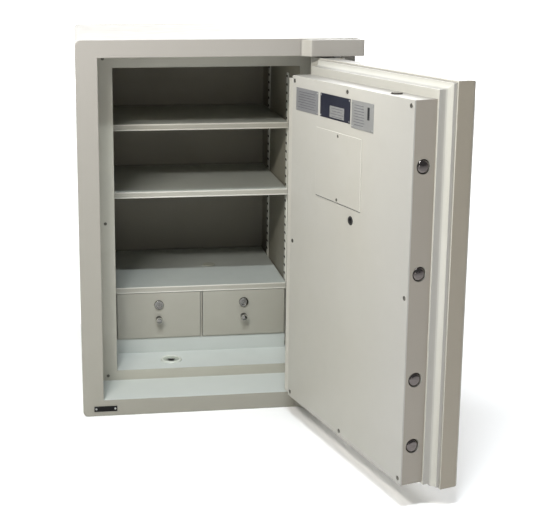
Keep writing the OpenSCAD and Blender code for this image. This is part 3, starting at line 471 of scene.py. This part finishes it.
def ruledLinesTree():
    # Bars one above another, each shortened by chance
    tree, sockets, given = newTree("ruledLines", {
        "Length": "Float", "Width": "Float", "Rise": "Float", "Pitch": "Float", "Rows": "Int", "Start": "Vector",
        "Shortest": "Vector", "Seed": "Int", "Finish": "Material"}, "Lines")
    step = vectorOf(tree, Z=given["Pitch"])
    rows = addNode(tree, "GeometryNodeMeshLine",
                   {"Count": given["Rows"], "Start Location": given["Start"], "Offset": step}, mode="OFFSET")
    size = vectorOf(tree, X=given["Length"], Y=given["Rise"], Z=given["Width"])
    bar = addNode(tree, "GeometryNodeMeshCube", {"Size": size})
    shorter = addNode(tree, "FunctionNodeRandomValue",
                      {"Min": given["Shortest"], "Max": (1.0, 1.0, 1.0), "Seed": given["Seed"]},
                      data_type="FLOAT_VECTOR")
    spread = addNode(tree, "GeometryNodeInstanceOnPoints", {"Points": rows, "Instance": bar, "Scale": shorter})
    endTree(tree, spread, given)
    return tree, sockets


fasteners, ruledLines = fastenerTree(), ruledLinesTree()


def addFasteners(name, places, facing, sizes, paint, body, replaced=()):
    # Places are points of a plate's face, facing is the way the heads look
    turn = Vector(facing).to_track_quat("Z", "Y").to_euler()
    mesh = grown(name, places, *fasteners, dict(sizes, Facing=tuple(turn), Finish=paints[paint]))
    mesh.shade_smooth()
    mesh.set_sharp_from_angle(angle=math.radians(40))
    addPiece(name, mesh, body, replaced)


# Screw heads of the inner cover, of the compartment's lip and of the access panel
coverScrews = {"Head radius": 0.0050, "Head height": 0.0017, "Recess width": 0.0011, "Recess depth": 0.0022, "Seed": 4}
coverInset = 0.012
middleX, middleZ = (caseX0 + caseX1) / 2, (caseZ0 + caseZ1) / 2
coverPlaces = [doorTurn @ Vector((x, coverY, z))
               for x in (caseX0 + coverInset, middleX, caseX1 - coverInset)
               for z in (caseZ0 + coverInset, middleZ, caseZ1 - coverInset)
               if not (x == middleX and z == middleZ)]
addFasteners("coverScrewHeads", coverPlaces, coverWay, coverScrews, "darkSteel", "door", ["cover_screws"])

lipScrews = {"Head radius": 0.0042, "Head height": 0.0018, "Recess width": 0.0010, "Recess depth": 0.0022, "Seed": 9}
lip = {"x": (-0.282, 0.274), "y": -0.242, "heights": (0.055, 0.470, 0.895)}
lipPlaces = [(x, lip["y"], z) for x in lip["x"] for z in lip["heights"]]
addFasteners("lipScrewHeads", lipPlaces, forward, lipScrews, "darkSteel", "cabinet", ["lip_screws"])

panel = {"fromHinge": (0.127, 0.333), "z": (0.602, 0.762), "thickness": 0.0015, "edge": 0.0004,
         "screwFromHinge": 0.230, "screwHeights": (0.610, 0.754),
         "shadowGap": 0.0016, "shadowGapY": (-0.0002, 0.0003), "lit": 0.0014, "litProud": 0.0001, "litEdge": 0.0003}
panelY = coverY + panel["thickness"]
panelScrews = {"Head radius": 0.0036, "Head height": 0.0014, "Recess width": 0.0009, "Recess depth": 0.0018, "Seed": 2}
panelPlaces = [doorTurn @ Vector((caseX1 - panel["screwFromHinge"], panelY, z)) for z in panel["screwHeights"]]
addFasteners("panelScrewHeads", panelPlaces, coverWay, panelScrews, "darkSteel", "door")

# Rivets of the plates on the cover and of the nameplate
labels = {"thickness": 0.0008, "edge": 0.00025, "rivetInset": 0.004, "fieldRise": 0.0001, "fieldEdge": 0.00005,
          "plates": [  # distances from the hinge side, heights, paint
              (0.022, 0.132, 0.788, 0.842, "greyPlate"), (0.143, 0.280, 0.788, 0.842, "darkPlate"),
              (0.286, 0.378, 0.781, 0.842, "palePlate")],
          "fields": [("plateField", 0.188, 0.254, 0.7918, 0.8177, "palePlate"),
                     ("plateBar", 0.353, 0.362, 0.806, 0.833, "printBlack")],
          "lines": [  # name, distances from the hinge side, first height, rows, seed
              ("linesOnPlate1", 0.028, 0.126, 0.797, 7, 3), ("linesOnPlate2", 0.191, 0.251, 0.7948, 4, 5),
              ("linesOnPlate3", 0.292, 0.344, 0.7900, 8, 8)],
          "lineWidth": 0.0011, "linePitch": 0.0060, "lineRise": 0.00024, "shortest": 0.72}
plateTop = coverY + labels["thickness"]
labelRivets = {"Head radius": 0.0022, "Head height": 0.0010, "Recess width": 0.0001, "Recess depth": 0.0, "Seed": 1}
inset = labels["rivetInset"]
rivetPlaces = [doorTurn @ Vector((caseX1 - x, plateTop, z)) for near, far, bottom, top, paint in labels["plates"]
               for x in (near + inset, far - inset) for z in (bottom + inset, top - inset)]
addFasteners("labelRivetHeads", rivetPlaces, coverWay, labelRivets, "zincSteel", "door")

plateLow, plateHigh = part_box("nameplate")
nameplate = {"rivetInset": 0.005, "behind": 0.0005, "edge": 0.0006}
plateRivets = dict(labelRivets, **{"Head radius": 0.0026, "Head height": 0.0012})
platePlaces = [(x, plateLow.y, (plateLow.z + plateHigh.z) / 2)
               for x in (plateLow.x + nameplate["rivetInset"], plateHigh.x - nameplate["rivetInset"])]
addFasteners("nameplateRivetHeads", platePlaces, forward, plateRivets, "zincSteel", "cabinet")
print("screw heads and rivets made")


# Bare plates on the inner cover, with plain fields and ruled lines in place of any print
for i, (near, far, bottom, top, paint) in enumerate(labels["plates"]):
    bm = bmesh.new()
    addBlock(bm, (caseX1 - far, coverY, bottom), (caseX1 - near, plateTop, top), labels["edge"])
    makePiece(f"coverPlate{i + 1}", bm, paint, "door", () if i else ["inner_labels"], doorTurn, 15.0)
rise = labels["fieldRise"]
for name, near, far, bottom, top, paint in labels["fields"]:
    bm = bmesh.new()
    addBlock(bm, (caseX1 - far, plateTop - rise, bottom), (caseX1 - near, plateTop + rise, top), labels["fieldEdge"], 1)
    makePiece(name, bm, paint, "door", (), doorTurn)
for name, near, far, bottom, rows, seed in labels["lines"]:
    values = {"Length": far - near, "Width": labels["lineWidth"], "Rise": labels["lineRise"],
              "Pitch": labels["linePitch"], "Rows": rows, "Start": (caseX1 - (near + far) / 2, plateTop + rise, bottom),
              "Shortest": (labels["shortest"], 1.0, 1.0), "Seed": seed, "Finish": paints["lineGrey"]}
    addPiece(name, grown(name, (), *ruledLines, values, doorTurn), "door")

# Dark bars in the shelf tracks' slots, painted shade inside them
tracks = {"depth": 0.0032, "slotWidth": 0.0165, "slotHeight": 0.0058, "pitch": 0.023, "rows": 33, "firstZ": 0.0945,
          "wallX": (-0.258, 0.223), "y": (-0.089, 0.185)}
slotPlaces = [(x + side * tracks["depth"] / 2, y, tracks["firstZ"])
              for x, side in zip(tracks["wallX"], (1, -1)) for y in tracks["y"]]
for i, start in enumerate(slotPlaces):
    name = f"trackSlots{i + 1}"
    values = {"Length": tracks["depth"], "Width": tracks["slotHeight"], "Rise": tracks["slotWidth"],
              "Pitch": tracks["pitch"], "Rows": tracks["rows"], "Start": start, "Shortest": (1.0, 1.0, 1.0),
              "Seed": 0, "Finish": paints["slotShade"]}
    addPiece(name, grown(name, (), *ruledLines, values), "cabinet")

# Folded hems along the shelves' lips, painted pale as their highlight
hems = {"tops": (0.709, 0.525, 0.258), "x": (-0.2555, 0.2205), "y": (-0.1153, -0.1146), "height": 0.0032, "lip": 0.017,
        "edge": 0.0003}
(x0, x1), (y0, y1) = hems["x"], hems["y"]
bm = bmesh.new()
for top in hems["tops"]:
    for low in (top - hems["lip"], top - hems["height"]):
        addBlock(bm, (x0, y0, low), (x1, y1, low + hems["height"]), hems["edge"])
makePiece("shelfHems", bm, "hemEnamel", "cabinet")

# Black plate on the lower rail
bm = bmesh.new()
addBlock(bm, plateLow, (plateHigh.x, plateHigh.y + nameplate["behind"], plateHigh.z), nameplate["edge"], 3)
makePiece("blackNameplate", bm, "blackPlate", "cabinet", ["nameplate"])
print("plates made")


# Sheet of the access panel, with a dark strip under its lower edge as painted shadow and pale strips along its top and
# latch side as painted highlights
x0, x1 = caseX1 - panel["fromHinge"][1], caseX1 - panel["fromHinge"][0] - panel["shadowGap"]
z0, z1 = panel["z"]
sheetZ = z0 + panel["shadowGap"]
litY = panelY + panel["litProud"]
bm = bmesh.new()
addBlock(bm, (x0, coverY, sheetZ), (x1, panelY, z1), panel["edge"])
# dark strip in the gap, painted shadow under the sheet's lower edge
addBlock(bm, (x0, coverY + panel["shadowGapY"][0], z0), (x1, coverY + panel["shadowGapY"][1], sheetZ), 0.0, 1, 1)
# pale strips, painted highlights along the top and latch edges
addBlock(bm, (x0, coverY, z1 - panel["lit"]), (x1, litY, z1), panel["litEdge"], 2, 2)
addBlock(bm, (x0, coverY, sheetZ), (x0 + panel["lit"], litY, z1), panel["litEdge"], 2, 2)
makePiece("accessPanelSheet", bm, ["coverEnamel", "darkPlate", "hemEnamel"], "door", ["access_panel"],
          doorTurn, 15.0)
print("access panel made")


# Round sleeve of the cable hole, with a plug inside
sleeve = {"fromHinge": 0.293, "z": 0.576, "rim": 0.0100, "rounding": 0.0010, "hole": 0.0058, "mouth": 0.0008,
          "wall": 0.0079, "proud": 0.0018, "depth": 0.004, "plug": 0.0060, "plugHeights": (-0.0030, -0.0036)}
sleevePlace = (caseX1 - sleeve["fromHinge"], coverY, sleeve["z"])
hole, wall, rim, depth = sleeve["hole"], sleeve["wall"], sleeve["rim"], sleeve["depth"]
profile = ([(hole, -depth), (hole, sleeve["mouth"])]
           + roundOver(sleeve["rounding"], rim - sleeve["rounding"], sleeve["proud"] - sleeve["rounding"], 90, 0)
           + [(rim, 0.0), (wall, 0.0), (wall, -depth), (hole, -depth)])
plugTop, plugBottom = sleeve["plugHeights"]
bm = bmesh.new()
addLathe(bm, profile, sleevePlace, (0, 1, 0))
addLathe(bm, [(0, plugTop), (sleeve["plug"], plugTop), (sleeve["plug"], plugBottom), (0, plugBottom)], sleevePlace,
         (0, 1, 0))
makePiece("cableHoleSleeve", bm, "blackPlastic", "door", ["cable_grommet"], doorTurn)


# Ring of the anchor hole, with its well painted darker as shade and a tab in front
ring = {"outer": 0.029, "inner": 0.012, "rounding": 0.0016,
        "well": [(0.012, 0.0), (0.012, 0.0016), (0.021, 0.0016), (0.022, 0.0022)],  # radius and height
        "wall": [(0.022, 0.0022), (0.0232, 0.0042)], "roundCenter": (0.0264, 0.0034), "foot": 0.0008,
        "tabWidth": 0.010, "tabOut": 0.0325, "tabIn": 0.023, "tabHeight": 0.003, "tabEdge": 0.0008}
sleeveLow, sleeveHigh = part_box("anchor_sleeve")
ringCenter = Vector(((sleeveLow.x + sleeveHigh.x) / 2, (sleeveLow.y + sleeveHigh.y) / 2, sleeveHigh.z))
bm = bmesh.new()
# the well's floor takes the darker plastic as painted shade
addLathe(bm, ring["well"], ringCenter, up, 72, 1)
profile = (ring["wall"] + roundOver(ring["rounding"], *ring["roundCenter"], 90, 0)
           + [(ring["outer"], ring["foot"]), (ring["outer"], 0.0), (ring["inner"], 0.0)])
addLathe(bm, profile, ringCenter, up, 72)
addBlock(bm, ringCenter - Vector((ring["tabWidth"] / 2, ring["tabOut"], 0)),
         ringCenter + Vector((ring["tabWidth"] / 2, -ring["tabIn"], ring["tabHeight"])), ring["tabEdge"])
makePiece("anchorRing", bm, ["ivoryPlastic", "wellPlastic"], "cabinet", ["anchor_grommet"])

# Plug in the lower shelf
plug = {"sunk": 0.002, "dish": [(0, 0.0009), (0.012, 0.0009), (0.0132, 0.0018)], "rounding": 0.0014,
        "roundCenter": (0.0172, 0.0006), "stem": [(0.0188, 0.0), (0.014, 0.0), (0.0138, -0.007), (0, -0.007)]}
plugLow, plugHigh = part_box("shelf_plug")
plugCenter = ((plugLow.x + plugHigh.x) / 2, (plugLow.y + plugHigh.y) / 2, plugHigh.z - plug["sunk"])
bm = bmesh.new()
addLathe(bm, plug["dish"] + roundOver(plug["rounding"], *plug["roundCenter"], 80, 0) + plug["stem"], plugCenter, up)
makePiece("shelfPlug", bm, "plugPlastic", "cabinet", ["shelf_plug"])
print("ring and plug made")


# Round bolts with domed ends
bolts = {"radius": 0.015, "length": 0.065, "tail": -0.210, "y": -0.2715, "heights": (0.145, 0.290, 0.515, 0.735),
         "dome": 0.0008, "rim": 0.0080}
flat, length, dome = bolts["radius"] - bolts["rim"], bolts["length"], bolts["dome"]
profile = ([(flat * t, length - dome * t * t) for t in (0.0, 0.4, 0.7, 0.9)]
           + roundOver(bolts["rim"], flat, length - dome - bolts["rim"], 86, 0, 8)
           + [(bolts["radius"], 0.0), (0.0, 0.0)])
bm = bmesh.new()
for z in bolts["heights"]:
    addLathe(bm, profile, (bolts["tail"], bolts["y"], z), (-1, 0, 0), 56)
makePiece("domedBolts", bm, "boltChrome", "latch_carriage", ["latch_bolts"], doorTurn)
print("bolts made")


# Drawer pulls and locks; heights are parts of the drawer front's height
drawerFront = {"bottom": 0.1115, "top": 0.2395, "set": 0.020, "pullHeight": 0.42, "lockHeight": 0.74}
pull = {"length": 0.0205, "rounding": 0.004, "roundCenter": (0.0056, 0.0165),
        "neck": [(0.0096, 0.0105), (0.0086, 0.0092), (0.0059, 0.0088), (0.0059, 0.0022), (0.0085, 0.0012),
                 (0.0085, 0.0), (0.0, 0.0)]}
drawerLock = {"dish": [(0.0, 0.0030), (0.0078, 0.0030), (0.0084, 0.0050)], "rounding": 0.0014,
              "roundCenter": (0.0116, 0.0036),
              "stem": [(0.0130, 0.0003), (0.010, 0.0003), (0.010, -0.013), (0.0, -0.013)],
              "camReach": 0.006, "camY": (0.013, 0.016), "camHeight": 0.005, "camEdge": 0.0006,
              "core": [(0.0, 0.0036), (0.0046, 0.0036), (0.0048, 0.0030), (0.0, 0.0028)],
              "keyhole": (0.0007, 0.0036), "keyholeY": (-0.0039, -0.0034)}
pullProfile = [(0.0, pull["length"])] + roundOver(pull["rounding"], *pull["roundCenter"], 80, 0) + pull["neck"]
pullZ, lockZ = [drawerFront["bottom"] + drawerFront[part] * (drawerFront["top"] - drawerFront["bottom"])
                for part in ("pullHeight", "lockHeight")]


def addLockFace(bm, values, x, y, z):
    # A turned face with its core and the keyhole
    rounded = roundOver(values["rounding"], *values["roundCenter"], 90, 0)
    addLathe(bm, values["dish"] + rounded + values["stem"], (x, y, z), forward)
    addLathe(bm, values["core"], (x, y, z), forward, 32)
    (halfWidth, halfHeight), (y0, y1) = values["keyhole"], values["keyholeY"]
    addBlock(bm, (x - halfWidth, y + y0, z - halfHeight), (x + halfWidth, y + y1, z + halfHeight), 0.0, 1, 1)


for side in ("left", "right"):
    low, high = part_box(side + "_drawer")
    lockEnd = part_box(side + "_drawer_lock")[1].x
    faceY = low.y + drawerFront["set"]
    middle = (low.x + high.x) / 2
    bm = bmesh.new()
    addLathe(bm, pullProfile, (middle, faceY, pullZ), forward)
    makePiece(side + "DrawerPull", bm, "brightChrome", side + "_drawer")
    bm = bmesh.new()
    addLockFace(bm, drawerLock, middle, faceY, lockZ)
    addBlock(bm, (middle - drawerLock["camReach"], faceY + drawerLock["camY"][0], lockZ - drawerLock["camHeight"]),
             (lockEnd, faceY + drawerLock["camY"][1], lockZ + drawerLock["camHeight"]), drawerLock["camEdge"])
    makePiece(side + "DrawerLock", bm, ["brightChrome", "blackPlastic"], side + "_drawer_lock",
              [side + "_drawer_lock"])
print("drawer pulls and locks made")


# Lever with its hub, arm and knob
lever = {"x": -0.035, "z": 0.560, "armY": -0.039, "hubTop": 0.052, "rounding": 0.004, "roundCenter": (0.013, 0.048),
         "groove": [(0.017, 0.030), (0.0178, 0.0285), (0.0178, 0.0265), (0.017, 0.025)],
         "footRounding": 0.002, "footCenter": (0.015, 0.017), "bore": [(0.008, 0.015), (0.008, 0.042), (0.0, 0.042)],
         "arm": [(0.0, -0.004), (0.010, -0.004), (0.0098, 0.012), (0.0082, 0.035), (0.0076, 0.070), (0.0082, 0.108),
                 (0.0068, 0.1165), (0.0072, 0.1185)],
         "length": 0.130, "knob": 0.013, "knobFrom": -52}
hubProfile = ([(0.0, lever["hubTop"])] + roundOver(lever["rounding"], *lever["roundCenter"], 90, 0) + lever["groove"]
              + roundOver(lever["footRounding"], *lever["footCenter"], 0, -90) + lever["bore"])
armProfile = (lever["arm"] + roundOver(lever["knob"], 0.0, lever["length"], lever["knobFrom"], 90, 12)[:-1]
              + [(0.0, lever["length"] + lever["knob"])])
bm = bmesh.new()
addLathe(bm, hubProfile, (lever["x"], frontY, lever["z"]), forward, 56)
addLathe(bm, armProfile, (lever["x"], frontY + lever["armY"], lever["z"]), (0, 0, -1), 40)
makePiece("leverWithKnob", bm, "satinChrome", "handle", ["handle_lever"], doorTurn)

# Round rose under the lever
rose = {"seat": [(0.0082, 0.0), (0.0082, 0.014), (0.019, 0.014), (0.0205, 0.0125), (0.022, 0.0125)], "rounding": 0.004,
        "roundCenter": (0.026, 0.0080), "foot": [(0.030, 0.0), (0.0082, 0.0)]}
bm = bmesh.new()
addLathe(bm, rose["seat"] + roundOver(rose["rounding"], *rose["roundCenter"], 90, 0) + rose["foot"],
         (lever["x"], frontY, lever["z"]), forward, 64)
makePiece("leverRose", bm, "satinChrome", "door", ["handle_rose"], doorTurn)


# Keypad housing with a raised rim round its keys
keypad = {"x": 0.028, "z": 0.692, "width": 0.096, "height": 0.150,
          "outline": [  # inset, corner radius, depth
              (0.0, 0.012, 0.0), (0.0, 0.012, -0.020), (0.0008, 0.0115, -0.0232), (0.003, 0.0105, -0.0254),
              (0.0055, 0.009, -0.026), (0.0085, 0.007, -0.026), (0.0095, 0.0065, -0.0248)],
          "keyPitch": 0.023, "firstRow": 0.040,
          "collar": [(0.0084, 0.0246), (0.0084, 0.0262), (0.0088, 0.0266), (0.0094, 0.0262), (0.0096, 0.0246),
                     (0.0084, 0.0246)],
          "lidSeam": ((-0.034, -0.0258, -0.0555), (0.034, -0.0246, -0.0545)), "seamEdge": 0.0003,
          "lidGrip": ((-0.008, -0.0262, -0.0640), (0.008, -0.0246, -0.0600)), "gripEdge": 0.0006,
          "lamp": [(0.0, 0.0264), (0.0012, 0.0262), (0.0021, 0.0256), (0.0024, 0.0246), (0.0, 0.0246)],
          "lampX": 0.010, "lampZ": 0.0585}
padX, padZ = keypad["x"], keypad["z"]
padPlace = Vector((padX, frontY, padZ))


def roundedRing(bm, halfX, halfZ, corner, y, steps=6):
    ringVerts = []
    for cx, cz, start in ((halfX - corner, halfZ - corner, 0), (-halfX + corner, halfZ - corner, 90),
                          (-halfX + corner, -halfZ + corner, 180), (halfX - corner, -halfZ + corner, 270)):
        for i in range(steps + 1):
            a = math.radians(start + 90 * i / steps)
            ringVerts.append(bm.verts.new((padX + cx + corner * math.cos(a), y, padZ + cz + corner * math.sin(a))))
    return ringVerts


bm = bmesh.new()
rings = [roundedRing(bm, keypad["width"] / 2 - inset, keypad["height"] / 2 - inset, corner, frontY + y)
         for inset, corner, y in keypad["outline"]]
for one, two in zip(rings, rings[1:]):
    for i in range(len(one)):
        j = (i + 1) % len(one)
        bm.faces.new((one[i], one[j], two[j], two[i]))
bm.faces.new(rings[0])
bm.faces.new(rings[-1])
makePiece("keypadHousing", bm, "keypadPlastic", "door", ["keypad_housing"], doorTurn)

# Collars, battery lid's seam and grip, and two lamps on the housing
keyPlaces = [(padX + (i % 3 - 1) * keypad["keyPitch"], frontY,
              padZ + keypad["firstRow"] - (i // 3) * keypad["keyPitch"]) for i in range(12)]
bm = bmesh.new()
for place in keyPlaces:
    addLathe(bm, keypad["collar"], place, forward, 36)
for part, edge in (("lidSeam", "seamEdge"), ("lidGrip", "gripEdge")):
    addBlock(bm, padPlace + Vector(keypad[part][0]), padPlace + Vector(keypad[part][1]), keypad[edge])
makePiece("keypadCollars", bm, "blackPlastic", "door", (), doorTurn)
for name, side, paint in (("lampReady", -1, "lampGreen"), ("lampFault", 1, "lampRed")):
    bm = bmesh.new()
    addLathe(bm, keypad["lamp"], padPlace + Vector((side * keypad["lampX"], 0, keypad["lampZ"])), forward, 24)
    makePiece(name, bm, paint, "door", (), doorTurn)

# Twelve keys with plain figures
keys = {"top": [(0.0, 0.0282), (0.0035, 0.0282)], "rounding": 0.0015, "roundCenter": (0.0065, 0.0270),
        "side": [(0.008, 0.0186), (0.0, 0.0186)], "figureSize": 0.0105, "figureRise": 0.00015, "figureY": -0.0283,
        "figures": {"1": "1", "2": "2", "3": "3", "4": "4", "5": "5", "6": "6", "7": "7", "8": "8", "9": "9",
                    "star": "*", "0": "0", "hash": "#"}}
keyProfile = keys["top"] + roundOver(keys["rounding"], *keys["roundCenter"], 80, 0) + keys["side"]
for (keyName, figure), place in zip(keys["figures"].items(), keyPlaces):
    bm = bmesh.new()
    addLathe(bm, keyProfile, place, forward, 40)
    makePiece("keyCap_" + keyName, bm, "keyPlastic", "key_" + keyName, ["key_" + keyName], doorTurn)
    curve = bpy.data.curves.new("figure_" + keyName, "FONT")
    curve.body = figure
    curve.size = keys["figureSize"]
    curve.align_x, curve.align_y = "CENTER", "CENTER"
    curve.extrude = keys["figureRise"]
    curve.resolution_u = 4
    standing = (doorTurn @ Matrix.Translation(Vector(place) + Vector((0, keys["figureY"], 0)))
                @ Matrix.Rotation(math.radians(90), 4, "X"))
    mesh = plainMesh("figure_" + keyName, addObject("figureHolder", curve), standing)
    mesh.materials.clear()
    mesh.materials.append(paints["printBlack"])
    addPiece("figure_" + keyName, mesh, "key_" + keyName)
print("lever and keypad made")


# Face of the override lock
override = {"beside": 0.110, "dish": [(0.0, 0.0030), (0.0088, 0.0030), (0.0094, 0.0046)], "rounding": 0.0016,
            "roundCenter": (0.0144, 0.0034),
            "stem": [(0.0160, 0.0005), (0.011, 0.0005), (0.011, -0.030), (0.0, -0.030)],
            "core": [(0.0, 0.0038), (0.0052, 0.0038), (0.0056, 0.0030), (0.0, 0.0028)],
            "keyhole": (0.0009, 0.0042), "keyholeY": (-0.0041, -0.0036)}
bm = bmesh.new()
addLockFace(bm, override, padX - override["beside"], frontY, padZ)
makePiece("overrideLock", bm, ["satinChrome", "blackPlastic"], "override_key", ["key_cylinder"],
          doorTurn)
print("override lock made")


# Floor, and a lit white backdrop behind the safe that fades out at its ends
floorValues = {"size": 30.0, "drop": 0.0005, "tone": (254, 254, 254), "roughness": 0.9}
backdropValues = {"y": 6.0, "width": 36.0, "height": 12.0, "full": 7.0, "fadedOut": 16.0, "glow": 2.4}


def addStage(name, corners):
    mesh = bpy.data.meshes.new(name)
    mesh.from_pydata(corners, [], [range(len(corners))])
    material, tree, shader = newMaterial(name + "Paint")
    mesh.materials.append(material)
    addObject(name, mesh)
    return tree, shader.inputs


half, z = floorValues["size"] / 2, -floorValues["drop"]
tree, inputs = addStage("floor", [(-half, -half, z), (half, -half, z), (half, half, z), (-half, half, z)])
inputs["Base Color"].default_value = srgb(*floorValues["tone"])
inputs["Roughness"].default_value = floorValues["roughness"]

half, y, height = backdropValues["width"] / 2, backdropValues["y"], backdropValues["height"]
tree, inputs = addStage("backdrop", [(-half, y, 0), (half, y, 0), (half, y, height), (-half, y, height)])
inputs["Base Color"].default_value = (0.0, 0.0, 0.0, 1.0)
inputs["Specular IOR Level"].default_value = 0.0
inputs["Emission Color"].default_value = (1.0, 1.0, 1.0, 1.0)
across = along(tree, tree.nodes.new("ShaderNodeTexCoord").outputs["Object"], (1.0, 0.0, 0.0))
aside = addNode(tree, "ShaderNodeMath", {0: across}, operation="ABSOLUTE")
glow = ranged(tree, aside, backdropValues["full"], backdropValues["fadedOut"], backdropValues["glow"],
              studio["skyStrength"])
tree.links.new(glow, inputs["Emission Strength"])
